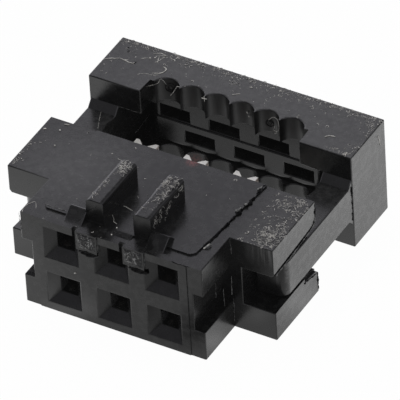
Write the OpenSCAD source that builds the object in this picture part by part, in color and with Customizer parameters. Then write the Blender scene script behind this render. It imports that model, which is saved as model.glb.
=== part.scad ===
// Ribbon cable socket with two rows of contacts, lying on its wide face with the cable cover open.
// X runs along the rows, Y from the mating face to the cover, Z up from the surface it lies on.

/* [Pin field] */
// Distance between neighbouring contacts, along and across the rows
pitch = 2.0; // [1.9:0.05:2.3]
// Side of the square pin that each contact takes
pin = 0.5; // [0.4:0.05:0.6]
// Space between the pin and the wall of its hole
pin_clear = 0.07; // [0.03:0.01:0.12]
// Side of the funnel mouth that guides a pin in
funnel_w = 1.36; // [1.2:0.02:1.5]
// Depth of the funnel
funnel_d = 0.36; // [0.2:0.02:0.5]
// Thickness of the wall between the mating face and the contacts
front_wall = 0.8; // [0.6:0.05:1.1]

/* [Housing] */
// Wall above the upper mouths and below the lower ones
lip = 0.32; // [0.25:0.01:0.5]
// Wall beside the outermost mouths
nose_side = 0.92; // [0.8:0.02:1.2]
// Depth of the nose, from the mating face to the ears
nose_d = 1.97; // [1.6:0.05:2.4]
// How far each ear reaches past the nose
ear_reach = 1.67; // [1.6:0.02:2.0]
// Depth of the ears, from the nose to the wire face
ear_d = 2.98; // [2.7:0.02:3.4]
// Thickness of an ear at its front
ear_t = 1.2; // [1.1:0.02:1.3]
// How much thinner an ear is at its rear, where the cover's arm enters
ear_taper = 0.2; // [0.1:0.02:0.3]
// Chamfer at the mouth of the arm's slot
slot_chamfer = 0.16; // [0.08:0.02:0.24]
// Chamfer along the upper outer edge of the arm's slot
edge_chamfer = 0.1; // [0.05:0.01:0.15]
// Depth of the groove along each side of the nose
side_groove = 0.4; // [0.2:0.02:0.5]
// Half width of the panel that carries the mouths
panel_half = 3.0; // [2.8:0.05:3.3]
// How far that panel stands out from the nose
panel_step = 0.03; // [0.02:0.01:0.06]

/* [Top plate and keys] */
// Thickness of the plate on top of the housing
plate_h = 0.06; // [0.04:0.01:0.12]
// Distance from the mating face to the front of the plate
plate_front = 0.54; // [0.4:0.02:0.8]
// Half width of the plate at its front
plate_half = 3.0; // [2.8:0.02:3.2]
// How much the plate widens on each side towards the wire face
plate_flare = 0.4; // [0.2:0.05:0.6]
// Chamfer at the front corners of the plate
plate_corner = 0.16; // [0.1:0.02:0.4]
// Distance from the middle to the centre of each polarising key
key_x = 0.935; // [0.8:0.005:1.1]
// Width of a key
key_w = 0.7; // [0.5:0.02:0.9]
// Height of a key above the housing
key_h = 0.94; // [0.7:0.02:1.2]
// Distance from the mating face to the front of a key
key_front = 0.63; // [0.4:0.01:0.9]
// Length of a key
key_len = 2.45; // [1.8:0.05:2.8]
// Radius of a key's upper edges and rear corners
key_r = 0.16; // [0.08:0.02:0.24]
// Width of the ramp beside each key
ramp_w = 0.69; // [0.4:0.01:0.8]
// Height of the ramp above the housing
ramp_h = 0.35; // [0.2:0.01:0.5]
// Distance from the mating face to the foot of the ramp
ramp_foot = 0.2; // [0.1:0.01:0.3]
// Length of the ramp's slope
ramp_run = 0.46; // [0.3:0.01:0.6]
// Length of the flat on top of the ramp
ramp_flat = 0.12; // [0.05:0.01:0.25]

/* [Gate marks] */
// Width of the pad that each mould gate left on the mating face
gate_w = 0.84; // [0.6:0.02:0.9]
// Height of the pad, down from the top of the housing
gate_h = 0.8; // [0.5:0.02:0.9]
// How far the pad stands out from the panel
gate_proud = 0.05; // [0.02:0.01:0.1]
// How far the pad reaches back into the lip
gate_d = 0.3; // [0.1:0.02:0.36]
// Width of the slot under the pad, up to the edge of the mouth on its right
gate_slot_w = 0.56; // [0.4:0.02:0.58]
// How far that slot passes the edge of the mouth
gate_slot_over = 0.1; // [0.04:0.02:0.2]
// Height of that slot
gate_slot_h = 0.17; // [0.1:0.01:0.2]
// Depth of that slot
gate_slot_d = 0.3; // [0.1:0.02:0.36]
// Width of the notch beside the pad
notch_w = 0.14; // [0.08:0.02:0.18]
// Depth of the notch
notch_d = 0.1; // [0.06:0.01:0.2]

/* [Contacts] */
// Thickness of the contact strip
strip_t = 0.2; // [0.15:0.01:0.25]
// Width of each spring beam
beam_w = 0.24; // [0.18:0.01:0.28]
// Space between a relaxed beam and the pin beside the contact point
beam_clear = 0.04; // [0.02:0.01:0.08]
// How far each beam's contact point reaches into the pin's width
beam_grip = 0.04; // [0.02:0.01:0.06]
// Length of the slot between the beams
beam_len = 2.2; // [1.9:0.05:2.4]
// Length of the solid stretch behind the beams
base_len = 0.5; // [0.4:0.05:0.7]
// Space between a contact and its chamber
contact_clear = 0.02; // [0.01:0.005:0.04]
// Width of the blade that cuts into a wire
blade_w = 0.9; // [0.8:0.02:0.96]
// Width of the wire slot in the blade
blade_slot = 0.2; // [0.14:0.02:0.26]
// Width of the flat at the tip of each tine
tine_flat = 0.13; // [0.08:0.01:0.2]
// Depth of the wire slot
blade_slot_d = 1.5; // [1.2:0.05:1.7]
// How far the blades stand out of the wire face
blade_out = 1.84; // [1.6:0.04:2.1]
// Distance from the middle plane to each row of blades
blade_off = 0.42; // [0.38:0.01:0.5]

/* [Cover] */
// Gap between the ears and the cover's tabs while it is open
open_gap = 2.6; // [2.3:0.05:3.0]
// Thickness of the shelves above and below the middle of the cover
shelf_t = 1.0; // [0.9:0.02:1.1]
// Distance from the middle to the inner edge of each tab
tab_in = 3.18; // [3.1:0.02:3.4]
// Depth of the wire grooves, behind the tabs' front
groove_back = 1.11; // [1.0:0.02:1.2]
// How far the radius of a wire groove passes half the wire pitch
groove_over = 0.02; // [0.01:0.005:0.05]
// Depth of the middle face, behind the tabs' front
face_back = 1.13; // [1.05:0.02:1.25]
// Half width of the middle face
face_half = 3.44; // [3.3:0.02:3.6]
// Radius of the middle face's upright edges
face_r = 0.26; // [0.1:0.02:0.34]
// Space around a blade in its window
window_clear = 0.14; // [0.1:0.01:0.16]
// Space past the tip of a blade when the cover is shut
window_end = 0.2; // [0.1:0.02:0.3]
// Wall behind the windows and behind the pockets beside the middle face
cover_wall = 0.38; // [0.3:0.02:0.7]
// How far the lower half of the middle face stands out
step_proud = 0.05; // [0.03:0.01:0.1]
// Height of the top of that step above the middle plane
step_up = 0.13; // [0.1:0.01:0.15]
// Radius of the middle face's lower edge, over the lower shelf
foot_r = 0.2; // [0.1:0.01:0.22]

/* [Cover arms] */
// Width of each arm
arm_w = 1.14; // [1.0:0.02:1.2]
// How far an arm lies in from the side of the cover
arm_inset = 0.03; // [0.02:0.01:0.06]
// Space between an arm and the ears above and below it
arm_clear = 0.07; // [0.04:0.01:0.12]
// Space between an arm and the wall of the housing beside it
arm_gap = 0.1; // [0.08:0.01:0.16]
// Length of arm that stays between the ears while the cover is open
arm_held = 2.2; // [1.8:0.05:2.3]
// Radius of an arm's outer front edge
arm_r = 0.36; // [0.2:0.02:0.5]
// Forward reach of the gusset between an arm and a tab
gusset_d = 0.26; // [0.15:0.01:0.4]
// Height of the latch ridge on the housing's wall
latch_h = 0.06; // [0.03:0.01:0.07]
// Length of the latch ridge along the arm
latch_len = 0.4; // [0.3:0.02:0.5]
// Distance from the wire face to the latch ridge
latch_back = 0.55; // [0.4:0.05:0.8]

/* [Hidden] */
$fn = 48;
eps = 0.01;
columns = 3;
plastic = [0.06, 0.06, 0.065];
tinned = [0.78, 0.77, 0.74];

wire_pitch = pitch / 2;
wires = 2 * columns;
hole_w = pin + 2 * pin_clear;
nose_half = (columns - 1) * pitch / 2 + funnel_w / 2 + nose_side;
body_half = nose_half + ear_reach;
body_h = pitch + funnel_w + 2 * lip;
mid_z = body_h / 2;
housing_d = nose_d + ear_d;

slot_front_half = mid_z - ear_t;
slot_rear_half = slot_front_half + ear_taper;
arm_out = body_half - arm_inset;
arm_in = arm_out - arm_w;
slot_in = arm_in - arm_gap;
arm_half_h = slot_front_half - arm_clear;

face_y = -panel_step;
front_y = face_y - gate_proud;
gate_bottom = body_h - gate_h;

fork_half = pin / 2 + beam_clear + beam_w;
fork_tip = front_wall + contact_clear;
beam_root = fork_tip + beam_len;
jog_start = beam_root + base_len;
jog_run = wire_pitch - blade_off;
jog_end = jog_start + jog_run;
blade_tip = housing_d + blade_out;
blade_x = -wire_pitch / 2;
chamber_half = fork_half + contact_clear;

tab_y = housing_d + open_gap;
window_d = blade_out - face_back + window_end;
cover_d = face_back + window_d + cover_wall;
rear_y = tab_y + cover_d;
groove_r = wire_pitch / 2 + groove_over;
cusp_back = groove_back - groove_r + sqrt(groove_r * groove_r - wire_pitch * wire_pitch / 4);
arm_tip = housing_d - arm_held;
middle_y = (front_y + rear_y) / 2;

function column_x(i) = (i - (columns + 1) / 2) * pitch;
function wire_x(i) = (i - (wires + 1) / 2) * wire_pitch;

// Block between two corners
module block(low, high) {
    translate(low)
        cube(high - low);
}

// Outline drawn in X and Y, raised from z0 to z1
module raise(z0, z1) {
    translate([0, 0, z0])
        linear_extrude(z1 - z0)
            children();
}

// Outline drawn in Y and Z, drawn out from x0 to x1
module across(x0, x1) {
    translate([x0, 0, 0])
        rotate([90, 0, 90])
            linear_extrude(x1 - x0)
                children();
}

// Outline drawn in X and Z, drawn out from y0 to y1
module along(y0, y1) {
    translate([0, y1, 0])
        rotate([90, 0, 0])
            linear_extrude(y1 - y0)
                children();
}

// The children on the right, and their mirror image on the left
module both_sides() {
    children();
    mirror([1, 0, 0])
        children();
}

// Everything is drawn from the mating face, and centred on the finished box at the end
module centred() {
    translate([0, -middle_y, 0])
        children();
}

// Places the children on each column of the upper row, and turned over on the lower row
module each_contact_place() {
    for (i = [1:columns], turn = [0, 180])
        translate([column_x(i), 0, mid_z])
            rotate([0, turn, 0])
                children();
}

// Outline that tapers from one half width at y0 to another at y1
module taper_outline(half0, half1, y0, y1) {
    polygon([[-half0, y0], [half0, y0], [half1, y1], [-half1, y1]]);
}

// Square funnel mouth with the pin hole behind it, about the middle plane of the socket
module pin_way() {
    mouth = funnel_w / 2;
    hole = hole_w / 2;
    throat = face_y + funnel_d;
    slope = (mouth - hole) / funnel_d;
    outer = mouth + slope * eps;
    translate([0, 0, pitch / 2]) {
        intersection() {
            raise(-outer, outer)
                taper_outline(outer, hole, face_y - eps, throat);
            across(-outer, outer)
                polygon([[face_y - eps, -outer], [face_y - eps, outer], [throat, hole], [throat, -hole]]);
        }
        block([-hole, throat - eps, -hole], [hole, front_wall + eps, hole]);
    }
}

// Chamber round the spring beams, and the wider passage that the contact is pushed in through
module contact_chamber() {
    hole = hole_w / 2;
    half_t = strip_t / 2 + contact_clear;
    blade_left = blade_x - blade_w / 2 - contact_clear;
    block([-chamber_half, front_wall, pitch / 2 - hole], [chamber_half, jog_start, pitch / 2 + hole]);
    block([blade_left, beam_root + base_len / 2, blade_off - half_t],
          [chamber_half, housing_d + eps, pitch / 2 + half_t]);
}

// Nose and ears in plan
module housing_plan() {
    polygon([[-nose_half, 0], [nose_half, 0], [nose_half, nose_d], [body_half, nose_d],
             [body_half, housing_d], [-body_half, housing_d], [-body_half, nose_d], [-nose_half, nose_d]]);
}

// Slot between the upper and the lower ear, flared towards the wire face
module arm_slot() {
    flare_y = housing_d - slot_chamfer;
    flare_half = slot_rear_half + slot_chamfer;
    across(slot_in, body_half + eps)
        translate([0, mid_z])
            polygon([[nose_d - eps, -slot_front_half], [flare_y, -slot_rear_half],
                     [housing_d + eps, -flare_half], [housing_d + eps, flare_half],
                     [flare_y, slot_rear_half], [nose_d - eps, slot_front_half]]);
}

// Chamfer along the slot's upper outer edge, which follows its flare
module slot_edge() {
    run = ear_d - slot_chamfer;
    slope = atan2(ear_taper, run);
    translate([body_half, nose_d, mid_z + slot_front_half])
        rotate([slope, 0, 0])
            along(-eps, run / cos(slope))
                polygon([[-edge_chamfer - eps, -eps], [eps, -eps], [eps, edge_chamfer + eps]]);
}

// Groove along the side of the nose, in line with the slot
module nose_groove() {
    block([nose_half - side_groove, -eps, mid_z - slot_front_half],
          [nose_half + eps, nose_d, mid_z + slot_front_half]);
}

// Low ridge on the wall beside the arm, which the arm's notches snap over
module latch_ridge() {
    ridge_y = housing_d - latch_back - latch_len / 2;
    raise(mid_z - arm_half_h, mid_z + arm_half_h)
        polygon([[slot_in - eps, ridge_y - latch_len / 2], [slot_in + latch_h, ridge_y],
                 [slot_in - eps, ridge_y + latch_len / 2]]);
}

// Plate with chamfered front corners that widens towards the wire face
module top_plate() {
    back = plate_half + plate_flare;
    raise(body_h - eps, body_h + plate_h)
        polygon([[-plate_half, plate_front + plate_corner], [-plate_half + plate_corner, plate_front],
                 [plate_half - plate_corner, plate_front], [plate_half, plate_front + plate_corner],
                 [back, housing_d], [-back, housing_d]]);
}

// Polarising key: a bar with rounded upper edges and rounded rear corners
module key() {
    half = key_w / 2;
    top = body_h + key_h;
    back = key_front + key_len;
    inner = half - key_r;
    intersection() {
        along(key_front, back)
            union() {
                translate([key_x - half, body_h - eps])
                    square([key_w, key_h - key_r + eps]);
                translate([key_x - inner, body_h - eps])
                    square([2 * inner, key_h + eps]);
                for (side = [-1, 1])
                    translate([key_x + side * inner, top - key_r])
                        circle(key_r);
            }
        raise(body_h - 2 * eps, top + eps)
            union() {
                translate([key_x - half, key_front])
                    square([key_w, key_len - key_r]);
                translate([key_x - inner, key_front])
                    square([2 * inner, key_len]);
                for (side = [-1, 1])
                    translate([key_x + side * inner, back - key_r])
                        circle(key_r);
            }
    }
}

// Lead-in ramp beside the key
module ramp() {
    inner = key_x + key_w / 2;
    crest = ramp_foot + ramp_run;
    across(inner - eps, inner + ramp_w)
        polygon([[ramp_foot, body_h - eps], [ramp_foot, body_h], [crest, body_h + ramp_h],
                 [crest + ramp_flat, body_h + ramp_h], [crest + ramp_flat + ramp_h, body_h - eps]]);
}

// Rough pad left by a mould gate, in front of a key and over the wall between two mouths
module gate_pad(side) {
    x = side * key_x;
    block([x - gate_w / 2, front_y, gate_bottom], [x + gate_w / 2, gate_d, body_h]);
}

// Slot under the pad, round on the left and open to the mouth on its right, and the notch beside the pad
module gate_recess(side) {
    mouth_x = side * pitch / 2 + (pitch - funnel_w) / 2;
    end_x = mouth_x - gate_slot_w + gate_slot_h / 2;
    slot_z = gate_bottom - gate_slot_h;
    notch_x = side * key_x - gate_w / 2 - notch_w - eps;
    along(face_y - eps, gate_slot_d)
        union() {
            translate([end_x, slot_z])
                square([mouth_x + gate_slot_over - end_x, gate_slot_h]);
            translate([end_x, slot_z + gate_slot_h / 2])
                circle(gate_slot_h / 2);
        }
    block([notch_x, face_y - eps, body_h - lip - eps], [notch_x + notch_w, notch_d, body_h + eps]);
}

module housing() {
    color(plastic)
    centred() {
        difference() {
            union() {
                raise(0, body_h)
                    housing_plan();
                block([-panel_half, face_y, 0], [panel_half, eps, body_h]);
            }
            both_sides() {
                arm_slot();
                slot_edge();
                nose_groove();
            }
            each_contact_place() {
                pin_way();
                contact_chamber();
            }
            for (side = [-1, 1])
                gate_recess(side);
        }
        both_sides() {
            latch_ridge();
            key();
            ramp();
        }
        top_plate();
        for (side = [-1, 1])
            gate_pad(side);
    }
}

// Row of wire grooves through one shelf, with the shelf cut back to the cusps between them
module wire_grooves() {
    block([-tab_in, tab_y - eps, 0], [tab_in, tab_y + cusp_back, shelf_t]);
    for (i = [1:wires])
        translate([wire_x(i), tab_y + groove_back - groove_r, 0])
            cylinder(h = shelf_t, r = groove_r);
}

// What is open in front of the middle face and beside it, in plan, with the face at y0
module open_outline(y0) {
    pocket_y = tab_y + face_back + window_d;
    face_in = face_half - face_r;
    difference() {
        translate([-arm_in, tab_y - eps])
            square([2 * arm_in, pocket_y - tab_y + eps]);
        translate([-face_in, y0])
            square([2 * face_in, pocket_y]);
        translate([-face_half, y0 + face_r])
            square([2 * face_half, pocket_y]);
        for (side = [-1, 1])
            translate([side * face_in, y0 + face_r])
                circle(face_r);
    }
}

// Space between the two shelves, with the middle face, whose lower half stands out, and the pockets beside it
module middle_space() {
    y0 = tab_y + face_back;
    raise(shelf_t, body_h - shelf_t)
        open_outline(y0 - step_proud);
    raise(mid_z + step_up, body_h - shelf_t)
        open_outline(y0);
}

// Blind windows that take the tips of the blades
module windows() {
    half_w = blade_w / 2 + window_clear;
    half_h = strip_t / 2 + window_clear;
    y0 = tab_y + face_back;
    each_contact_place()
        block([blade_x - half_w, y0 - step_proud - eps, blade_off - half_h],
              [blade_x + half_w, y0 + window_d, blade_off + half_h]);
}

// What is cut away under the middle face to round its lower edge
module face_foot() {
    front = tab_y + face_back - step_proud;
    across(-arm_in, arm_in)
        difference() {
            translate([front - eps, shelf_t])
                square([foot_r + eps, foot_r]);
            translate([front + foot_r, shelf_t + foot_r])
                circle(foot_r);
        }
}

// Arm that slides between the ears, with its outer front edge rounded
module arm() {
    raise(mid_z - arm_half_h, mid_z + arm_half_h)
        union() {
            translate([arm_in, arm_tip])
                square([arm_w - arm_r, arm_r + eps]);
            translate([arm_in, arm_tip + arm_r])
                square([arm_w, tab_y - arm_tip - arm_r + eps]);
            translate([arm_out - arm_r, arm_tip + arm_r])
                circle(arm_r);
        }
}

// Notches that hold the cover open and shut on the latch ridge
module arm_notches() {
    ridge_y = housing_d - latch_back - latch_len / 2;
    half = latch_len / 2 + latch_h;
    for (y = [ridge_y, ridge_y + open_gap])
        raise(mid_z - arm_half_h - eps, mid_z + arm_half_h + eps)
            polygon([[arm_in - eps, y - half], [arm_in + latch_h, y], [arm_in - eps, y + half]]);
}

// Sloped webs that tie an arm to the tabs above and below it
module gussets() {
    rise = mid_z - shelf_t - arm_half_h;
    for (flip = [0, 1])
        translate([0, 0, mid_z])
            mirror([0, 0, flip])
                across(arm_in, arm_out)
                    polygon([[tab_y - gusset_d, arm_half_h - eps], [tab_y, arm_half_h + rise],
                             [tab_y + eps, arm_half_h + rise], [tab_y + eps, arm_half_h - eps]]);
}

module cover() {
    color(plastic)
    centred() {
        difference() {
            union() {
                difference() {
                    block([-body_half, tab_y, 0], [body_half, rear_y, body_h]);
                    middle_space();
                    for (z = [0, body_h - shelf_t])
                        translate([0, 0, z])
                            wire_grooves();
                }
                both_sides() {
                    arm();
                    gussets();
                }
            }
            windows();
            face_foot();
            both_sides()
                arm_notches();
        }
    }
}

// Gap between the two spring beams, narrowest where they grip the pin
module beam_gap() {
    grip = pin / 2 - beam_grip;
    relaxed = pin / 2 + beam_clear;
    grip_y = fork_tip + beam_w;
    relaxed_y = grip_y + 2 * beam_w;
    polygon([[-relaxed, fork_tip - eps], [-grip, grip_y], [-relaxed, relaxed_y], [-relaxed, beam_root],
             [relaxed, beam_root], [relaxed, relaxed_y], [grip, grip_y], [relaxed, fork_tip - eps]]);
}

// Flat pattern of a contact: spring beams at the front, wire blade at the rear
module contact_pattern() {
    neck_y = beam_root + base_len / 2;
    difference() {
        union() {
            translate([-fork_half, fork_tip])
                square([2 * fork_half, neck_y - fork_tip]);
            polygon([[-fork_half, neck_y - eps], [fork_half, neck_y - eps],
                     [blade_x + blade_w / 2, jog_start], [blade_x - blade_w / 2, jog_start]]);
            translate([blade_x - blade_w / 2, jog_start - eps])
                square([blade_w, blade_tip - jog_start + eps]);
        }
        beam_gap();
        wire_slot();
    }
}

// Slot that cuts into a wire, with a wide mouth between the tines
module wire_slot() {
    half = blade_slot / 2;
    mouth = blade_w / 2 - tine_flat;
    bottom = blade_tip - blade_slot_d;
    translate([blade_x, 0]) {
        polygon([[-half, bottom + half], [half, bottom + half], [half, blade_tip - mouth + half],
                 [mouth + eps, blade_tip + eps], [-mouth - eps, blade_tip + eps],
                 [-half, blade_tip - mouth + half]]);
        translate([0, bottom + half])
            circle(half);
    }
}

// Side view of the strip, bent down from the pin's row to the blade's row
module contact_bend() {
    row = pitch / 2;
    h = strip_t / 2;
    bend = h * tan(atan2(row - blade_off, jog_run) / 2);
    polygon([[fork_tip, row + h], [jog_start + bend, row + h], [jog_end + bend, blade_off + h],
             [blade_tip, blade_off + h], [blade_tip, blade_off - h], [jog_end - bend, blade_off - h],
             [jog_start - bend, row - h], [fork_tip, row - h]]);
}

// One contact, stamped to its pattern and bent
module contact(i, turn) {
    color(tinned)
    centred()
        translate([column_x(i), 0, mid_z])
            rotate([0, turn, 0])
                intersection() {
                    raise(blade_off - strip_t, pitch / 2 + strip_t)
                        contact_pattern();
                    across(-pitch, pitch)
                        contact_bend();
                }
}

housing();
cover();
contact(1, 0);  // contact_upper_1
contact(2, 0);  // contact_upper_2
contact(3, 0);  // contact_upper_3
contact(1, 180);  // contact_lower_1
contact(2, 180);  // contact_lower_2
contact(3, 180);  // contact_lower_3
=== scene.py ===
# %% [markdown]
# # A ribbon cable socket, lying open
#
# This lesson dresses a small black socket that is pressed onto the end of a ribbon cable. Its solids come
# from CAD, in metres, and never move. Blender rounds their edges, finishes their surfaces and adds what a
# close photograph of such a moulding shows: dust and smudges, torn gate marks, thin flash, worn edges,
# pale crumbs and a few stray fibres.

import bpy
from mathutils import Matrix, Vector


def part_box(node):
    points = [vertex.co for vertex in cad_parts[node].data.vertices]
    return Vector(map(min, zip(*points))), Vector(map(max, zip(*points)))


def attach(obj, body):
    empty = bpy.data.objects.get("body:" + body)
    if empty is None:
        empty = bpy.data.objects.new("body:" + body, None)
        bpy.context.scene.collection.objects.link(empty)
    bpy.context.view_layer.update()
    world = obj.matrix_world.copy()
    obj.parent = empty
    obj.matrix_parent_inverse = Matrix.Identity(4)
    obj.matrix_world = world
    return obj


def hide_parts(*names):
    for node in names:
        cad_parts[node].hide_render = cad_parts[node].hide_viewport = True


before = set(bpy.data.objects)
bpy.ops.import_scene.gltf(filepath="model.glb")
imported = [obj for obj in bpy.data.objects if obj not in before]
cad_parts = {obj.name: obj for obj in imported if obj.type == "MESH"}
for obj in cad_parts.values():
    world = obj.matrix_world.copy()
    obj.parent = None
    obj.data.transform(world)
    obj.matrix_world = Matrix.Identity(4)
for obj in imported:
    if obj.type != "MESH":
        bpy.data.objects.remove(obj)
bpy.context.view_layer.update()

# %% [markdown]
# ## The frame's own measures
#
# Everything below is placed from the packed solids. Lengths are written in millimetres and measured from
# the middle of the rows, from the mating face and from the surface that the socket lies on, as a drawing
# of such a socket would have them. One function turns them into the frame's metres. Most of the dirt lies
# on a few faces, so their heights are read from the solids' boxes and named here.

# %% Drawing millimetres to frame metres
import math

import bmesh
import bpy
from mathutils import Matrix, Vector

MM = 0.001
GATE_PROUD = 0.08
PLATE_RISE = 0.06
KEY_SIDE = 1.285
housing_low, housing_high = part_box("housing")
cover_low, cover_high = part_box("cover")
MATING_Y = housing_low.y / MM + GATE_PROUD
TOP = round(cover_high.z / MM, 2)
PLATE_TOP = TOP + PLATE_RISE
KEY_TOP = round(housing_high.z / MM, 2)
SIDE = round(cover_high.x / MM, 2)


def place(x, y, z):
    """A point of the drawing, in the frame."""
    return Vector((x, y + MATING_Y, z)) * MM


print("mating face at y", round(MATING_Y, 3), "mm; tops at z", TOP, PLATE_TOP, KEY_TOP, "mm")

# %% [markdown]
# ## The camera
#
# The photograph was taken with a long lens from the right and above, with the camera turned a little. A
# camera can be aimed with a Track To constraint, but that can't turn it about its own axis. So its axes
# are written out from three angles, and each angle can be changed by itself.

# %% Camera
AZIMUTH = math.radians(31.94)
ELEVATION = math.radians(39.42)
ROLL = math.radians(-3.61)
CAMERA_DISTANCE = 256.5 * MM
LENS = 663.4
AIM = (0.0, 4.9, 1.95)
AIM_RIGHT = 0.563 * MM
AIM_UP = 0.181 * MM


def camera_axes():
    """The camera's right, up and forward directions."""
    flat = math.cos(ELEVATION)
    forward = Vector((-math.sin(AZIMUTH) * flat, math.cos(AZIMUTH) * flat, -math.sin(ELEVATION)))
    level = Vector((math.cos(AZIMUTH), math.sin(AZIMUTH), 0))
    upright = level.cross(forward)
    right = level * math.cos(ROLL) + upright * math.sin(ROLL)
    up = upright * math.cos(ROLL) - level * math.sin(ROLL)
    return right, up, forward


right, up, forward = camera_axes()
target = place(*AIM) + right * AIM_RIGHT + up * AIM_UP
camera = bpy.data.objects.new("camera", bpy.data.cameras.new("camera"))
bpy.context.scene.collection.objects.link(camera)
camera.matrix_world = (Matrix.Translation(target - forward * CAMERA_DISTANCE)
                       @ Matrix((right, up, -forward)).transposed().to_4x4())
camera.data.lens = LENS
camera.data.clip_start = 0.1 * CAMERA_DISTANCE
camera.data.clip_end = 10 * CAMERA_DISTANCE
bpy.context.scene.camera = camera
bpy.context.scene.view_settings.view_transform = "Standard"
print("camera at", [round(value / MM, 1) for value in camera.location], "mm")

# %% [markdown]
# ## Writing shaders as expressions
#
# A material is a graph of nodes, and long graphs are hard to read when every link is a line of code. The
# class below wraps one socket. Arithmetic on it adds Math nodes, and `make` adds any other node, so that a
# finish can be written as a few lines of algebra. A socket without an output stands for the whole graph.

# %% The socket class
class Socket:
    """One output of a node. Arithmetic on it adds Math nodes, and make() adds a node of any other kind."""

    def __init__(self, tree, output=None):
        self.tree = tree
        self.output = output

    def feed(self, target_socket, value):
        """Links a socket to an input, or sets the input to a plain value."""
        if isinstance(value, Socket):
            self.tree.links.new(value.output, target_socket)
        elif value is not None:
            target_socket.default_value = value

    def make(self, kind, settings=None, inputs=None, output=0):
        """Adds a node, sets it up and gives one of its outputs."""
        node = self.tree.nodes.new(kind)
        for name, value in (settings or {}).items():
            setattr(node, name, value)
        for name, value in (inputs or {}).items():
            self.feed(node.inputs[name], value)
        return Socket(self.tree, node.outputs[output]) if len(node.outputs) else node

    def sibling(self, name):
        """Another output of the same node."""
        return Socket(self.tree, self.output.node.outputs[name])

    def parts(self):
        """The three numbers of a vector."""
        first = self.make("ShaderNodeSeparateXYZ", None, {"Vector": self}, "X")
        return first, first.sibling("Y"), first.sibling("Z")

    def maths(self, operation, first, second=None, clamp=False):
        settings = {"operation": operation, "use_clamp": clamp}
        return self.make("ShaderNodeMath", settings, {0: first, 1: second})

    def vector_maths(self, operation, first, second):
        """Arithmetic on vectors. A distance or a dot product gives a number."""
        socket = "Scale" if operation == "SCALE" else 1
        output = "Value" if operation in ("DISTANCE", "DOT_PRODUCT") else "Vector"
        return self.make("ShaderNodeVectorMath", {"operation": operation}, {0: first, socket: second}, output)

    def __add__(self, other):
        return self.maths("ADD", self, other)

    def __radd__(self, other):
        return self.maths("ADD", other, self)

    def __sub__(self, other):
        return self.maths("SUBTRACT", self, other)

    def __rsub__(self, other):
        return self.maths("SUBTRACT", other, self)

    def __mul__(self, other):
        return self.maths("MULTIPLY", self, other)

    def __rmul__(self, other):
        return self.maths("MULTIPLY", other, self)

    def __rtruediv__(self, other):
        return self.maths("DIVIDE", other, self)

    def __gt__(self, other):
        return self.maths("GREATER_THAN", self, other)

    def __lt__(self, other):
        return self.maths("LESS_THAN", self, other)

    def __abs__(self):
        return self.maths("ABSOLUTE", self)

    def clamped(self):
        return self.maths("ADD", self, 0.0, clamp=True)

    def at_least(self, other):
        return self.maths("MAXIMUM", self, other)

    def between(self, low, high):
        """0 below low and 1 above high, with a smooth step between them."""
        return self.make("ShaderNodeMapRange", {"interpolation_type": "SMOOTHSTEP"},
                         {"Value": self, "From Min": low, "From Max": high}, "Result")

    def blend(self, first, second):
        """The first colour where this value is 0, and the second where it is 1."""
        mix = self.tree.nodes.new("ShaderNodeMix")
        mix.data_type = "RGBA"
        colour_a, colour_b = (s for s in mix.inputs if s.type == "RGBA")
        self.feed(mix.inputs["Factor"], self)
        self.feed(colour_a, first)
        self.feed(colour_b, second)
        return Socket(self.tree, next(s for s in mix.outputs if s.type == "RGBA"))


print("a socket can:", *(name for name in vars(Socket) if not name.startswith("_")))

# %% [markdown]
# ## The stage
#
# Black plastic has almost no colour of its own. What the camera sees on it is the room, dimly mirrored, so
# the room decides how the part looks. It is a white table in a dim room, with a wide white screen behind
# it to the left. The tops of the part mirror the screen. A second, smaller screen at the front right does
# the same for someone who looks from behind.
#
# The fronts and sides mirror the table near their feet. It is brightest to the right, and dark at the
# front right corner, where the part keeps the light away. Each pool of light below has its middle and
# radius, in the frame's millimetres, and the light that it adds or takes. Small lamps could do the same,
# but they would also light what lies beside them.
#
# A mirrored ray and a camera ray may see different things, which is how a white background goes together
# with a dim room. The table still takes the part's own soft shadow.

# %% The table
WHITE = (1.0, 1.0, 1.0, 1.0)
PALE = (0.85, 0.85, 0.85, 1.0)
FLOOR_SIZE = 600 * MM
FLOOR_DROP = 0.004 * MM
FLOOR_WHITE = 0.98
TABLE_LIGHT = 0.65
TABLE_POOLS = {
    "right": ((12.0, 6.8), 16.0, 0.97),
    "left": ((-7.3, -4.5), 6.9, 0.8),
    "shadow": ((9.0, -6.6), 5.9, -0.65),
    "foot": ((-2.3, -5.2), 1.3, 0.45),
    "tab": ((-7.0, -0.95), 2.0, 0.35),
    "nose": ((3.95, -4.0), 0.8, 0.35),
    "ear": ((5.8, -0.65), 1.6, 0.42),
    "under_ear": ((2.5, -6.45), 1.7, -0.55),
    "front": ((-1.4, -5.6), 1.0, 0.3),
}


def fresh_graph(owner):
    """An empty graph for a material or a world."""
    owner.use_nodes = True
    owner.node_tree.nodes.clear()
    return Socket(owner.node_tree)


def ray_kinds(graph):
    """1 for rays from the camera, and 1 for rays from a reflection or through a clear material."""
    camera_ray = graph.make("ShaderNodeLightPath", None, None, "Is Camera Ray")
    passed_on = camera_ray.sibling("Is Glossy Ray") + camera_ray.sibling("Is Transmission Ray")
    return camera_ray, passed_on.clamped()


def frame_position(graph):
    """Object coordinates in millimetres of the frame."""
    return graph.vector_maths("SCALE", graph.make("ShaderNodeTexCoord", None, None, "Object"), 1 / MM)


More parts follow.
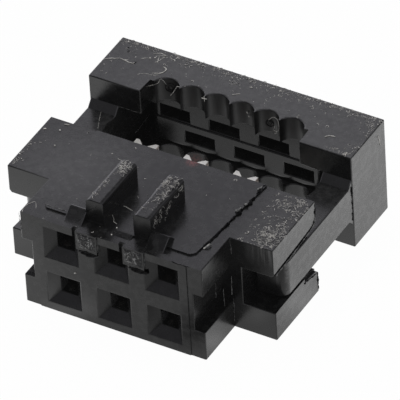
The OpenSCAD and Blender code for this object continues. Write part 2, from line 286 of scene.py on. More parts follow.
def floor_material():
    material = bpy.data.materials.new("white_table")
    graph = fresh_graph(material)
    camera_ray, mirrored = ray_kinds(graph)
    point = frame_position(graph)
    table = TABLE_LIGHT
    for middle, radius, light in TABLE_POOLS.values():
        away = graph.vector_maths("DISTANCE", point, (*middle, 0.0))
        table = table + light * away.between(radius, 0.0)
    matt = graph.make("ShaderNodeBsdfDiffuse", None, {"Color": PALE})
    glow = graph.make("ShaderNodeEmission", None, {"Color": WHITE, "Strength": camera_ray + mirrored * table})
    glowing = camera_ray * FLOOR_WHITE + mirrored
    surface = graph.make("ShaderNodeMixShader", None, {0: glowing, 1: matt, 2: glow})
    graph.make("ShaderNodeOutputMaterial", None, {"Surface": surface})
    return material


half = FLOOR_SIZE / 2
floor_corners = [(x, y, -FLOOR_DROP) for x, y in ((-half, -half), (half, -half), (half, half), (-half, half))]
floor_mesh = bpy.data.meshes.new("floor")
floor_mesh.from_pydata(floor_corners, [], [(0, 1, 2, 3)])
floor_mesh.materials.append(floor_material())
floor = bpy.data.objects.new("floor", floor_mesh)
bpy.context.scene.collection.objects.link(floor)
print("table with", len(TABLE_POOLS), "pools of light")

# %% The room and the lamp
ROOM_DIM = 0.02
ROOM_LIGHT = 0.4
SCREEN_WHITE = 1.5
SCREEN_TINT = (1.0, 0.985, 1.07, 1.0)
SCREEN_TURN = math.radians(141)
SCREEN_RISE = math.radians(46)
SCREEN_SPREAD = (0.0, 0.93)
SCREEN_TOP = (0.55, 0.7)
SCREEN_ABOVE = 0.1
FAR_WHITE = 0.9
FAR_TURN = math.radians(-40)
FAR_RISE = math.radians(28)
FAR_SPREAD = (0.45, 0.9)
LAMP_PLACE = (-110, 100, 380)
LAMP_SIZE = 160 * MM
LAMP_POWER = 0.5


def towards(way, turn, rise):
    """How closely a direction points to a place in the room, from -1 to 1."""
    level = math.cos(rise)
    place_way = (math.cos(turn) * level, math.sin(turn) * level, math.sin(rise))
    return way.vector_maths("DOT_PRODUCT", way, place_way)


def studio_world():
    world = bpy.data.worlds.new("studio")
    graph = fresh_graph(world)
    camera_ray, mirrored = ray_kinds(graph)
    way = graph.make("ShaderNodeTexCoord", None, None, "Generated")
    rise = way.parts()[2]
    near = towards(way, SCREEN_TURN, SCREEN_RISE).between(*SCREEN_SPREAD)
    far = towards(way, FAR_TURN, FAR_RISE).between(*FAR_SPREAD)
    screens = SCREEN_WHITE * near * (1 - (1 - SCREEN_ABOVE) * rise.between(*SCREEN_TOP)) + FAR_WHITE * far
    strength = camera_ray + mirrored * (ROOM_DIM + screens) + (1 - camera_ray - mirrored) * ROOM_LIGHT
    tint = mirrored.blend(WHITE, SCREEN_TINT)
    light = graph.make("ShaderNodeBackground", None, {"Color": tint, "Strength": strength})
    graph.make("ShaderNodeOutputWorld", None, {"Surface": light})
    return world


def soft_lamp(name, position, size, power):
    data = bpy.data.lights.new(name, "AREA")
    data.size = size
    data.energy = power
    lamp = bpy.data.objects.new(name, data)
    bpy.context.scene.collection.objects.link(lamp)
    lamp.location = Vector(position) * MM
    lamp.rotation_euler = (-lamp.location).to_track_quat("-Z", "Y").to_euler()
    lamp.visible_glossy = False
    return lamp


bpy.context.scene.world = studio_world()
lamp = soft_lamp("overhead_lamp", LAMP_PLACE, LAMP_SIZE, LAMP_POWER)
print("room:", bpy.context.scene.world.name, "and", lamp.name)

# %% [markdown]
# ## Black moulded plastic
#
# Such mouldings are nearly black, with a semi-gloss skin that is a little uneven. The unevenness is three
# noises: a broad one for the flow of the plastic, a mottle, and a fine grain for the texture of the mould.
# On the sides a fourth one is drawn out from front to rear.
#
# The rest lies on the skin. A film of dust greys the cover, part of the housing and two of its sides.
# Smudges are paler and in patches, and upright drag marks run down one ear. Reddish dust lies in two
# places near the contacts. The walls of the wire grooves are a little duller. An image could carry all
# this, but each of them follows a face or a place on the part, so masks over the frame's own coordinates
# can say it.

# %% Helpers for materials
def noise(point, per_mm, detail=2.0):
    """Clouds, with about this many to the millimetre."""
    return point.make("ShaderNodeTexNoise", None, {"Vector": point, "Scale": per_mm, "Detail": detail}, "Fac")


def drawn_out(point, per_mm):
    """Clouds with their own size along each axis."""
    return noise(point.vector_maths("MULTIPLY", point, per_mm), 1.0, 3.0)


def distance(point, spot):
    """How far a point is from a place on the drawing, in mm."""
    return point.vector_maths("DISTANCE", point, tuple(place(*spot) / MM))


def new_material(name):
    material = bpy.data.materials.new(name)
    return material, fresh_graph(material)


def finished(material, graph, inputs):
    """Ends a material's graph in one Principled shader."""
    surface = graph.make("ShaderNodeBsdfPrincipled", None, inputs)
    graph.make("ShaderNodeOutputMaterial", None, {"Surface": surface})
    return material


print("materials so far:", len(bpy.data.materials))

# %% Where the dust lies
BEHIND_Y = 0.0
SOFT = (0.3, 0.7)
FILM_PLACE = (-3.2, 2.7, TOP)
FILM_RADIUS = 3.5
FILM_LEVEL = 3.9
FILM_THICKEST = 0.88
FILM_ON_EAR = 0.4
EAR_X = (3.3, 4.3)
FILM_ON_COVER = (0.5, 0.35)
COVER_X = (-5.0, -2.0)
FILM_ON_ARMS = 0.36
ARM_LENGTH = 5.0
FILM_ON_NOSE = 0.9
NOSE_Y = (1.6, 0.6)
NOSE_Z = 1.2
FILM_INSIDE = 0.25
INNER_X = -3.5
FILM_UNEVEN = (0.65, 0.7)


def dust_film(point, faces, mottle):
    """How thick the dust lies: over the cover, round one place on the housing, and on two sides."""
    x, y, z = point.parts()
    near_place = distance(point, FILM_PLACE).between(FILM_RADIUS, 0.0)
    housing_top = FILM_THICKEST * near_place + FILM_ON_EAR * x.between(*EAR_X)
    cover_top = FILM_ON_COVER[0] + FILM_ON_COVER[1] * x.between(*COVER_X)
    top = housing_top + (y > BEHIND_Y) * (cover_top - housing_top)
    arms = FILM_ON_ARMS * (z < FILM_LEVEL) * (y > BEHIND_Y) * (y < cover_low.y / MM + ARM_LENGTH)
    nose_foot = FILM_ON_NOSE * (z < NOSE_Z) * y.between(*(MATING_Y + edge for edge in NOSE_Y))
    sides = faces["right"] * (nose_foot + FILM_INSIDE * (x < INNER_X))
    uneven = FILM_UNEVEN[0] + FILM_UNEVEN[1] * mottle.between(*SOFT)
    return (faces["top"] * (top * (z > FILM_LEVEL) + arms) + sides) * uneven


print("dust round", FILM_PLACE, "mm")

# %% Smudges, drag marks and grooves
OUTER_X = 5.0
FRONT_DEPTH = 0.2
SMUDGED = {"side": 0.6, "front": 0.1, "top": 0.06}
SMUDGE_EDGE = (0.44, 0.6)
DRAG_X = (4.0, 5.2)
DRAG_Z = (3.0, 4.0)
DRAG_PER_MM = (11.0, 1.0, 0.7)
DRAG_EDGE = (0.42, 0.68)
GROOVES_HALF = 3.08
GROOVES_Y = (7.6, 8.69)
GROOVES_Z = 3.0
GROOVE_WALL = 0.5


def smudges(point, faces, patch):
    """Pale patches: strongest on the outer sides, weaker on the fronts and tops."""
    x, y, z = point.parts()
    side = faces["right"] * (x > OUTER_X)
    front = faces["front"] * (y < MATING_Y + FRONT_DEPTH)
    amount = SMUDGED["side"] * side + SMUDGED["front"] * front + SMUDGED["top"] * faces["top"]
    return amount * patch.between(*SMUDGE_EDGE)


def drag_marks(point, faces):
    """Upright scuffs at the top of the ear that faces the camera."""
    x, y, z = point.parts()
    area = x.between(*DRAG_X) * z.between(*DRAG_Z) * (y < BEHIND_Y)
    return faces["front"] * area * drawn_out(point, DRAG_PER_MM).between(*DRAG_EDGE)


def in_grooves(point, upward):
    """1 on the walls of the cover's wire grooves."""
    x, y, z = point.parts()
    inside = (abs(x) < GROOVES_HALF) * (y > GROOVES_Y[0] + MATING_Y) * (y < GROOVES_Y[1] + MATING_Y)
    return inside * (z > GROOVES_Z) * (upward < GROOVE_WALL)


print("smudges:", SMUDGED)

# %% [markdown]
# ## The plastic, put together
#
# Each mark is a factor that blends the colour so far with a paler one, from the skin outwards. A white
# room also spreads a little light through the lens, so the deepest shadows of the photograph are not quite
# black. That could be added to the picture afterwards, but a very faint emission keeps it with the
# material.

# %% The plastic's material
PLASTIC_IOR = 1.5
PLASTIC_DARK = (0.0015, 0.0015, 0.0016, 1.0)
PLASTIC_LIGHT = (0.009, 0.009, 0.0094, 1.0)
PLASTIC_DUSTY = (0.05, 0.05, 0.0512, 1.0)
PLASTIC_SCUFFED = (0.11, 0.11, 0.11, 1.0)
COPPER_DUST = (0.16, 0.045, 0.045, 1.0)
COPPER_PLACES = {"plate": ((0.48, 4.9, PLATE_TOP), 0.34), "shelf": ((-1.72, 8.6, 0.65), 0.4)}
COPPER_EDGE = (0.3, 0.55)
VEIL = (0.0022, 0.0022, 0.0022, 1.0)
FACE_ON = (0.7, 0.9)
SIDEWAYS = (0.6, 0.9)
FLOW = (0.7, 2.0)
MOTTLE = (4.0, 3.0)
GRAIN = (14.0, 4.0)
FLOW_EDGE = (0.35, 0.65)
HAZE = {"flow": 0.3, "mottle": 0.4, "grain": 0.3}
DRAWN_PER_MM = (5.0, 0.6, 9.0)
PLASTIC_ROUGH = 0.22
ROUGH_MOTTLE = 0.05
ROUGH_FLOW = 0.03
ROUGH_GROOVES = 0.08
BUMP_STRENGTH = 0.25
BUMP_DEPTH = 0.006 * MM


def black_plastic():
    material, graph = new_material("black_plastic")
    point = frame_position(graph)
    rightward, rearward, upward = graph.make("ShaderNodeTexCoord", None, None, "Normal").parts()
    faces = {"right": rightward.between(*FACE_ON), "top": upward.between(*FACE_ON),
             "front": rearward.between(*(-edge for edge in FACE_ON))}
    flow, grain, mottle = noise(point, *FLOW), noise(point, *GRAIN), noise(point, *MOTTLE)
    drawn = drawn_out(point, DRAWN_PER_MM)
    cloud = HAZE["flow"] * flow.between(*FLOW_EDGE) + HAZE["mottle"] * mottle.between(*SOFT)
    cloud = cloud + HAZE["grain"] * grain.between(*SOFT)
    haze = cloud + abs(rightward).between(*SIDEWAYS) * (drawn.between(*SOFT) - cloud)
    spots = [distance(point, spot).between(radius, 0.0) for spot, radius in COPPER_PLACES.values()]
    copper = (spots[0] + spots[1]) * grain.between(*COPPER_EDGE)
    scuffed = drag_marks(point, faces) + smudges(point, faces, 0.7 * mottle + 0.3 * drawn)
    colour = haze.blend(PLASTIC_DARK, PLASTIC_LIGHT)
    colour = dust_film(point, faces, 0.5 * mottle + 0.5 * grain).blend(colour, PLASTIC_DUSTY)
    colour = scuffed.blend(colour, PLASTIC_SCUFFED)
    colour = copper.blend(colour, COPPER_DUST)
    uneven = ROUGH_MOTTLE * mottle.between(*SOFT) + ROUGH_FLOW * flow.between(*SOFT)
    rough = PLASTIC_ROUGH + uneven + ROUGH_GROOVES * in_grooves(point, upward)
    relief = {"Strength": BUMP_STRENGTH, "Distance": BUMP_DEPTH, "Height": 0.6 * grain + 0.4 * mottle}
    bump = graph.make("ShaderNodeBump", None, relief, "Normal")
    looks = {"Base Color": colour, "Roughness": rough, "Normal": bump, "IOR": PLASTIC_IOR,
             "Emission Color": VEIL, "Emission Strength": 1.0}
    return finished(material, graph, looks)


plastic = black_plastic()
print("plastic nodes:", len(plastic.node_tree.nodes))

# %% [markdown]
# ## Tinned contact strip
#
# The contacts are stamped from copper alloy strip and plated with bright tin before they are cut, so the
# sheared edges show a little of the copper. The cut faces could have a material of their own. But a face
# that looks sideways out of the strip is a cut face, so the face's direction can tell them apart in one
# material.

# %% The contacts' material
TIN = (0.86, 0.84, 0.81, 1.0)
COPPER = (0.83, 0.58, 0.48, 1.0)
COPPER_SHOWS = 0.5
COPPER_CLOUD = (0.35, 0.6)
STRIP_FACE = (0.4, 0.7)
TIN_ROUGH = 0.2
TIN_METALLIC = 0.35


def tinned_strip():
    material, graph = new_material("tinned_strip")
    point = frame_position(graph)
    upward = graph.make("ShaderNodeTexCoord", None, None, "Normal").parts()[2]
    cut = 1 - abs(upward).between(*STRIP_FACE)
    cloud = noise(point, 5.0, 3.0)
    colour = (cut * COPPER_SHOWS * cloud.between(*COPPER_CLOUD)).blend(TIN, COPPER)
    rough = TIN_ROUGH + 0.15 * cloud + 0.05 * noise(point, 40.0)
    return finished(material, graph, {"Base Color": colour, "Roughness": rough, "Metallic": TIN_METALLIC})


tin = tinned_strip()
print("tin nodes:", len(tin.node_tree.nodes))

# %% [markdown]
# ## Rounded edges
#
# No moulded or stamped edge is perfectly sharp, and the thin line of light along an edge is what makes
# small parts look real. A Bevel modifier would also cut edges that have no room for it. So a copy of each
# solid is merged, its flat faces are joined again, and only its outer edges are rounded. Edges that end on
# a step smaller than the radius stay sharp, because there is no room for a radius.
#
# Smooth shading would bend the light on the flat faces too. So each corner gets its normal from the
# largest flat patch that meets there, and only the narrow rounded strips between the patches blend from
# one to the next.

# %% Rounded copies of the solids
MERGE = 0.012 * MM
FLAT_ANGLE = math.radians(0.5)
SHARP_ANGLE = math.radians(28)
SMOOTH_ANGLE = math.radians(40)
ROOM = 2.2
SAME_LINE = 0.85


def has_room(edge, radius):
    """True if no short edge leaves either end of this one at an angle."""
    for vertex in edge.verts:
        along = (edge.other_vert(vertex).co - vertex.co).normalized()
        for other in vertex.link_edges:
            if other is edge or other.calc_length() >= ROOM * radius:
                continue
            if abs((other.other_vert(vertex).co - vertex.co).normalized().dot(along)) < SAME_LINE:
                return False
    return True


def reached(face, edges_of, limit):
    """The faces that are reached from one face over edges that are flatter than the limit."""
    found, waiting = {face}, [face]
    while waiting:
        here = waiting.pop()
        for edge in edges_of(here):
            if edge.is_manifold and edge.calc_face_angle() < limit:
                new = [other for other in edge.link_faces if other not in found]
                found.update(new)
                waiting.extend(new)
    return found


def corner_normals(body):
    """A normal for each corner of each face, from the largest flat patches round it."""
    patch_area = {}
    for face in body.faces:
        if face not in patch_area:
            patch = reached(face, lambda here: here.edges, FLAT_ANGLE)
            area = sum(member.calc_area() for member in patch)
            patch_area.update((member, area) for member in patch)
    normals = []
    for face in body.faces:
        for corner in face.loops:
            spokes = set(corner.vert.link_edges)
            fan = reached(face, lambda here: [edge for edge in here.edges if edge in spokes], SMOOTH_ANGLE)
            weighed = (other.normal * patch_area[other] ** 2 for other in fan)
            normals.append(sum(weighed, Vector()).normalized())
    return normals


def rounded_copy(node, radius, material, segments=3):
    """A piece with the solid's shape, with its outer edges rounded."""
    body = bmesh.new()
    body.from_mesh(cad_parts[node].data)
    bmesh.ops.remove_doubles(body, verts=body.verts, dist=MERGE)
    bmesh.ops.dissolve_limit(body, angle_limit=FLAT_ANGLE, verts=body.verts, edges=body.edges, delimit=set())
    outer = [edge for edge in body.edges
             if edge.is_manifold and edge.is_convex and edge.calc_face_angle() > SHARP_ANGLE
             and has_room(edge, radius)]
    bmesh.ops.bevel(body, geom=outer, offset=radius, offset_type="OFFSET", segments=segments, profile=0.5,
                    affect="EDGES", clamp_overlap=False, loop_slide=True)
    for vertex in body.verts:
        vertex.co.z = max(vertex.co.z, 0.0)
    body.normal_update()
    normals = corner_normals(body)
    mesh = bpy.data.meshes.new(node + "_moulding")
    body.to_mesh(mesh)
    body.free()
    mesh.materials.append(material)
    mesh.shade_smooth()
    mesh.normals_split_custom_set(normals)
    piece = bpy.data.objects.new(node + "_rounded", mesh)
    bpy.context.scene.collection.objects.link(piece)
    return piece


def settle(piece):
    """Turns what a piece's modifiers make into its plain mesh."""
    graph = bpy.context.evaluated_depsgraph_get()
    mesh = bpy.data.meshes.new_from_object(piece.evaluated_get(graph), depsgraph=graph)
    piece.modifiers.clear()
    piece.data = mesh
    return piece


def stand_in(piece, node, body):
    """Makes a piece ride on a body in place of a solid."""
    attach(piece, body)
    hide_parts(node)
    return piece


HOUSING_EDGE = 0.035 * MM
COVER_EDGE = 0.045 * MM
housing = stand_in(rounded_copy("housing", HOUSING_EDGE, plastic), "housing", "housing")
cover = stand_in(rounded_copy("cover", COVER_EDGE, plastic), "cover", "cover")
print("housing faces:", len(housing.data.polygons), "cover faces:", len(cover.data.polygons))

# %% [markdown]
# ## Stamped contacts
#
# The six contacts are sheared from thin strip, so their edges are much sharper than the mouldings'. The
# same function rounds them, with a smaller radius.

# %% Contacts
STAMPED_EDGE = 0.015 * MM
contact_nodes = sorted(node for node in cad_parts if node.startswith("contact_"))
for node in contact_nodes:
    stand_in(rounded_copy(node, STAMPED_EDGE, tin), node, "housing")
print("contacts:", *contact_nodes)

# %% [markdown]
# ## Growing small things
#
# Crumbs, hairs and torn plastic are too many and too uneven to model one by one. Each kind is a Geometry
# Nodes tree with named inputs. It is run once on a small guide mesh, and its result is kept as a plain
# mesh, so that nothing in the finished model depends on the tree.

# %% Building and running a tree
def new_tree(name, inputs):
    """A tree with named inputs, and the sockets that give their values."""
    tree = bpy.data.node_groups.new(name, "GeometryNodeTree")
    for label, kind in {"Geometry": "Geometry", "Material": "Material", **inputs}.items():
        tree.interface.new_socket(label, in_out="INPUT", socket_type="NodeSocket" + kind)
    tree.interface.new_socket("Geometry", in_out="OUTPUT", socket_type="NodeSocketGeometry")
    start = tree.nodes.new("NodeGroupInput")
    return tree, {output.name: Socket(tree, output) for output in start.outputs if output.name}


def end_tree(graph, geometry, material):
    """Ends a tree in real geometry with its material."""
    real = graph.make("GeometryNodeRealizeInstances", None, {"Geometry": geometry})
    dressed = graph.make("GeometryNodeSetMaterial", None, {"Geometry": real, "Material": material})
    graph.make("NodeGroupOutput", None, {"Geometry": dressed})


def grown(name, body, mesh, tree, values):
    """The piece that a tree makes from a guide mesh."""
    piece = bpy.data.objects.new(name, mesh)
    bpy.context.scene.collection.objects.link(piece)
    modifier = piece.modifiers.new("grown", "NODES")
    modifier.node_group = tree
    for item in tree.interface.items_tree:
        if item.name in values:
            modifier[item.identifier] = values[item.name]
    settle(piece)
    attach(piece, body)
    return piece


def guide(name, points, edges, faces, label, domain, values):
    """A guide mesh, with one number on each of its points or faces."""
    mesh = bpy.data.meshes.new(name)
    mesh.from_pydata(points, edges, faces)
    mesh.attributes.new(label, "FLOAT", domain).data.foreach_set("value", values)
    return mesh


def chance(graph, low, high, seed):
    """A number by chance for each point, always the same for one seed."""
    return graph.make("FunctionNodeRandomValue", {"data_type": "FLOAT"}, {2: low, 3: high, 8: seed}, 1)


def named(graph, label):
    """The number that a guide mesh holds under this label."""
    return graph.make("GeometryNodeInputNamedAttribute", {"data_type": "FLOAT"}, {"Name": label}, "Attribute")


def seeded_noise(where, given, detail):
    """Clouds that change with a tree's seed and fineness."""
    inputs = {"Vector": where, "W": given["Seed"], "Scale": 1 / given["Fineness"], "Detail": detail}
    return where.make("ShaderNodeTexNoise", {"noise_dimensions": "4D"}, inputs, "Fac")


print("trees so far:", len(bpy.data.node_groups))

# %% [markdown]
# ## Pale crumbs and curls
#
# Static holds shavings and grains of paler plastic on the part. They gather along the rear edge of the
# cover, on one ear and on the two keys. Each zone below is a rectangle on a face with a number of crumbs
# for each square millimetre. Hundreds of grains could be placed by a loop, but a tree can scatter points
# over the zones, in clumps, and put a grain or a curled shaving on each.
#
# The curls are a second run of the same tree, with longer and thinner shavings and no grains. The zones on
# the housing stop short of its rear edge, because the cover's tabs come close to it when the cover is
# shut.

# %% Materials for crumbs and hairs
CRUMB_DIM = (0.25, 0.245, 0.24, 1.0)
CRUMB_PALE = (0.72, 0.7, 0.67, 1.0)
HAIR_DIM = (0.4, 0.39, 0.375, 1.0)
HAIR_PALE = (0.85, 0.83, 0.79, 1.0)
PALE_EDGE = (0.35, 0.62)
PALE_ROUGH = 0.45


def pale_finish(name, dim, pale):
    material, graph = new_material(name)
    point = frame_position(graph)
    colour = noise(point, 5.0).between(*PALE_EDGE).blend(dim, pale)
    rough = PALE_ROUGH + 0.2 * noise(point, 30.0)
    return finished(material, graph, {"Base Color": colour, "Roughness": rough})


crumb_finish = pale_finish("pale_crumbs", CRUMB_DIM, CRUMB_PALE)
hair_finish = pale_finish("pale_hairs", HAIR_DIM, HAIR_PALE)
print("finishes:", crumb_finish.name, hair_finish.name)

# %% Zones for crumbs and curls
CLEAR_Y = 4.82
HOUSING_ZONES = (
    ("top", (3.9, 5.24), (2.0, CLEAR_Y), TOP, 42),
    ("top", (4.4, 5.24), (2.0, 3.1), TOP, 190),
    ("top", (4.3, 5.24), (4.1, CLEAR_Y), TOP, 175),
    ("top", (4.8, 5.24), (3.0, 4.2), TOP, 110),
    ("top", (-5.24, -3.5), (2.0, CLEAR_Y), TOP, 3),
    ("top", (-5.24, -5.0), (2.1, 3.6), TOP, 70),
    ("top", (-3.0, 3.0), (1.0, CLEAR_Y), PLATE_TOP, 1.2),
    ("top", (-0.55, 0.55), (0.4, 3.0), PLATE_TOP, 5),
    ("top", (-3.4, 3.4), (0.0, 0.55), TOP, 2),
    ("top", (-1.16, -0.72), (2.2, 3.02), KEY_TOP, 170),
    ("top", (-1.16, -1.0), (0.7, 2.2), KEY_TOP, 60),
    ("top", (0.72, 1.15), (0.9, 3.04), KEY_TOP, 90),
    ("right", (0.8, 2.0), (4.2, 4.5), KEY_SIDE, 14),
)
CURL_ZONES = (
    ("top", (0.72, 1.15), (1.0, 3.0), KEY_TOP, 75),
    ("right", (0.9, 2.9), (4.5, 4.84), KEY_SIDE, 30),
    ("right", (0.9, 1.9), (4.25, 4.5), KEY_SIDE, 8),
    ("top", (-1.16, -0.72), (2.3, 3.0), KEY_TOP, 60),
    ("top", (4.4, 5.2), (2.1, 3.0), TOP, 60),
    ("top", (4.5, 5.2), (3.0, 4.7), TOP, 22),
)
COVER_ZONES = (
    ("top", (-5.24, 5.24), (9.72, 9.95), TOP, 170),
    ("top", (-5.24, 5.24), (9.4, 9.72), TOP, 45),
    ("top", (-5.24, 5.24), (8.7, 9.4), TOP, 5),
    ("top", (4.8, 5.24), (7.9, 9.6), TOP, 75),
    ("top", (-5.24, -3.2), (7.6, 9.4), TOP, 3),
    ("top", (4.2, 5.1), (7.59, 7.79), TOP, 210),
    ("right", (8.9, 9.8), (2.9, 3.8), SIDE, 6),
)


def zone_corners(face, first, second, level):
    """The corners of a zone on a top face, or on a face that looks to the right."""
    turn = ((0, 0), (1, 0), (1, 1), (0, 1))
    if face == "top":
        return [place(first[i], second[j], level) for i, j in turn]
    return [place(level, first[i], second[j]) for i, j in turn]


def zone_guide(name, zones):
    points = [corner for zone in zones for corner in zone_corners(*zone[:4])]
    faces = [range(4 * i, 4 * i + 4) for i in range(len(zones))]
    return guide(name, points, [], faces, "density", "FACE", [zone[4] / MM ** 2 for zone in zones])


print("zones:", len(HOUSING_ZONES), len(CURL_ZONES), len(COVER_ZONES))

# %% Crumbs
SHAVINGS = ((0.45, 1.6), (0.34, 3.4), (0.9, 0.8), (0.36, 4.8))
GRAINS = (0.17, 0.13, 0.1)
GRAIN_FLATTENED = (1.0, 0.6, 0.5)
SHAVING_RISE = 0.05
ZONE_CUTS = 5
CLUMP_EDGE = (0.4, 0.62)
CLUMP_SHARE = (0.25, 1.5)


def grain_shape(graph, size):
    ball = graph.make("GeometryNodeMeshIcoSphere", None, {"Radius": size, "Subdivisions": 1}, "Mesh")
    return graph.make("GeometryNodeTransform", None, {"Geometry": ball, "Scale": GRAIN_FLATTENED})


def shaving_shape(graph, bend, sweep, thickness):
    """A thin curled thread, about its own middle."""
    bow = {"Resolution": 9, "Radius": bend, "Start Angle": -sweep / 2, "Sweep Angle": sweep}
    arc = graph.make("GeometryNodeCurveArc", None, bow, "Curve")
    round_section = {"Resolution": 5, "Radius": thickness}
    section = graph.make("GeometryNodeCurvePrimitiveCircle", None, round_section, "Curve")
    along = {"Curve": arc, "Profile Curve": section, "Fill Caps": True}
    thread = graph.make("GeometryNodeCurveToMesh", None, along)
    middle = (-bend * math.sin(sweep / 2) / (sweep / 2), 0.0, SHAVING_RISE)
    return graph.make("GeometryNodeTransform", None, {"Geometry": thread, "Translation": middle})


def crumb_tree():
    tree, given = new_tree("crumbs", {"Smallest": "Float", "Largest": "Float", "Thickness": "Float",
                                      "First Kind": "Float", "Clump": "Float", "Tilt": "Float",
                                      "Seed": "Int"})
    graph = Socket(tree)
    fine = graph.make("GeometryNodeSubdivideMesh", None, {"Mesh": given["Geometry"], "Level": ZONE_CUTS})
    where = graph.make("GeometryNodeInputPosition")
    clumps = graph.make("ShaderNodeTexNoise", None, {"Vector": where, "Scale": 1 / given["Clump"]}, "Fac")
    crowding = CLUMP_SHARE[0] + CLUMP_SHARE[1] * clumps.between(*CLUMP_EDGE)
    density = named(graph, "density") * crowding
    points = graph.make("GeometryNodeDistributePointsOnFaces", None,
                        {"Mesh": fine, "Density": density, "Seed": given["Seed"]}, "Points")
    kinds = [grain_shape(graph, size) for size in GRAINS]
    kinds += [shaving_shape(graph, *shape, given["Thickness"]) for shape in SHAVINGS]
    shapes = tree.nodes.new("GeometryNodeJoinGeometry")
    for kind in reversed(kinds):  # The newest link comes first.
        graph.feed(shapes.inputs[0], graph.make("GeometryNodeGeometryToInstance", None, {"Geometry": kind}))
    luck = chance(graph, 0.0, 1.0, given["Seed"] + 1)
    size = given["Smallest"] + (given["Largest"] - given["Smallest"]) * luck * luck
    pick = chance(graph, given["First Kind"], len(kinds) - 0.01, given["Seed"] + 2)
    laid = graph.make("GeometryNodeInstanceOnPoints", None,
                      {"Points": points, "Instance": Socket(tree, shapes.outputs[0]), "Pick Instance": True,
                       "Instance Index": pick.maths("FLOOR", pick), "Rotation": points.sibling("Rotation"),
                       "Scale": size})
    tilt = [given["Tilt"] * chance(graph, -1.0, 1.0, given["Seed"] + 3 + i) for i in range(2)]
    turn = graph.make("ShaderNodeCombineXYZ", None,
                      {"X": tilt[0], "Y": tilt[1], "Z": chance(graph, 0.0, math.tau, given["Seed"] + 5)})
    turned = graph.make("GeometryNodeRotateInstances", None, {"Instances": laid, "Rotation": turn})
    end_tree(graph, turned, given["Material"])
    return tree


crumbs = crumb_tree()
crumb_values = {"Material": crumb_finish, "Smallest": 0.07 * MM, "Largest": 0.18 * MM, "Thickness": 0.055,
                "First Kind": 0.0, "Clump": 0.4 * MM, "Tilt": 0.3}
housing_crumbs = grown("crumbs_on_housing", "housing", zone_guide("housing_zones", HOUSING_ZONES), crumbs,
                       {**crumb_values, "Seed": 11})
curls = grown("curls_on_housing", "housing", zone_guide("curl_zones", CURL_ZONES), crumbs,
              {**crumb_values, "Smallest": 0.18 * MM, "Largest": 0.4 * MM, "Thickness": 0.019,
               "First Kind": len(GRAINS), "Clump": 0.9 * MM, "Tilt": 0.5, "Seed": 17})
cover_crumbs = grown("crumbs_on_cover", "cover", zone_guide("cover_zones", COVER_ZONES), crumbs,
                     {**crumb_values, "Seed": 23})
print("crumb faces:", [len(piece.data.polygons) for piece in (housing_crumbs, curls, cover_crumbs)])

# %% [markdown]
# ## Hairs and single flakes
#
# The larger threads can be told apart in the photograph. Scattering would put them anywhere, so each one
# is a short list of points on the face that it lies on. A smooth curve runs through the points, shakes a
# little, and becomes a thin round thread. The same tree makes single flakes, which are very short threads,
# and the ragged lines of flash further down.

# %% Threads
RAGGED_GAIN = 3
THINNEST = 0.12


def thread_tree():
    tree, given = new_tree("threads", {"Step": "Float", "Shake": "Float", "Ragged": "Float",
                                       "Fineness": "Float", "Seed": "Float"})
    graph = Socket(tree)
    lines = graph.make("GeometryNodeMeshToCurve", None, {"Mesh": given["Geometry"]})
    smooth = graph.make("GeometryNodeCurveSplineType", {"spline_type": "CATMULL_ROM"}, {"Curve": lines})
    even = graph.make("GeometryNodeResampleCurve", {"mode": "LENGTH"},
                      {"Curve": smooth, "Length": given["Step"]})
    where = graph.make("GeometryNodeInputPosition")
    cloud = seeded_noise(where, given, 1.0)
    shake = graph.vector_maths("SUBTRACT", cloud.sibling("Color"), (0.5, 0.5, 0.5))
    moved = graph.make("GeometryNodeSetPosition", None,
                       {"Geometry": even, "Offset": graph.vector_maths("SCALE", shake, given["Shake"])})
    section = graph.make("GeometryNodeCurvePrimitiveCircle", None, {"Resolution": 6, "Radius": 1.0}, "Curve")
    uneven = 1 + given["Ragged"] * (cloud - 0.5) * RAGGED_GAIN
    radius = named(graph, "radius") * uneven.at_least(THINNEST)
    tube = graph.make("GeometryNodeCurveToMesh", None,
                      {"Curve": moved, "Profile Curve": section, "Scale": radius, "Fill Caps": True})
    end_tree(graph, tube, given["Material"])
    return tree


def line_guide(name, lines):
    """Open lines, each given as its radius in mm, or one for each point, and its points on the drawing."""
    points, edges, radii = [], [], []
    for radius, line in lines:
        widths = radius if isinstance(radius, tuple) else [radius] * len(line)
        edges += [(len(points) + i, len(points) + i + 1) for i in range(len(line) - 1)]
        points += [place(*point) for point in line]
        radii += [width * MM for width in widths]
    return guide(name, points, edges, [], "radius", "POINT", radii)


threads = thread_tree()
print("thread nodes:", len(threads.nodes))

# %% Lines on the faces
STANDS = 0.6
STANDS_IN_GROOVE = 0.5
GROOVE_Y = 8.14
GROOVE_RADIUS = 0.52


def on_top(z, radius, *line):
    """A line on a level face."""
    return radius, [(x, y, z + STANDS * radius) for x, y in line]


def on_wall(y, radius, *line):
    """A line on a face that looks forward."""
    return radius, [(x, y - STANDS * radius, z) for x, z in line]


def on_side(x, radius, *line):
    """A line on a face that looks to the right."""
    return radius, [(x + STANDS * radius, y, z) for y, z in line]


def in_groove(middle, radius, *line):
    """A line on the wall of the wire groove with this middle."""
    stands = STANDS_IN_GROOVE * radius
    return radius, [(x, GROOVE_Y + math.sqrt(GROOVE_RADIUS ** 2 - (x - middle) ** 2) - stands, z)
                    for x, z in line]


def round_line(x, z, radius, corners=9):
    """A closed line of points round a middle, on an upright wall."""
    turns = [math.tau * i / corners for i in range(corners + 1)]
    return [(x + radius * math.cos(turn), z + radius * math.sin(turn)) for turn in turns]


print("a line on the top:", on_top(TOP, 0.01, (0.0, 9.0)))

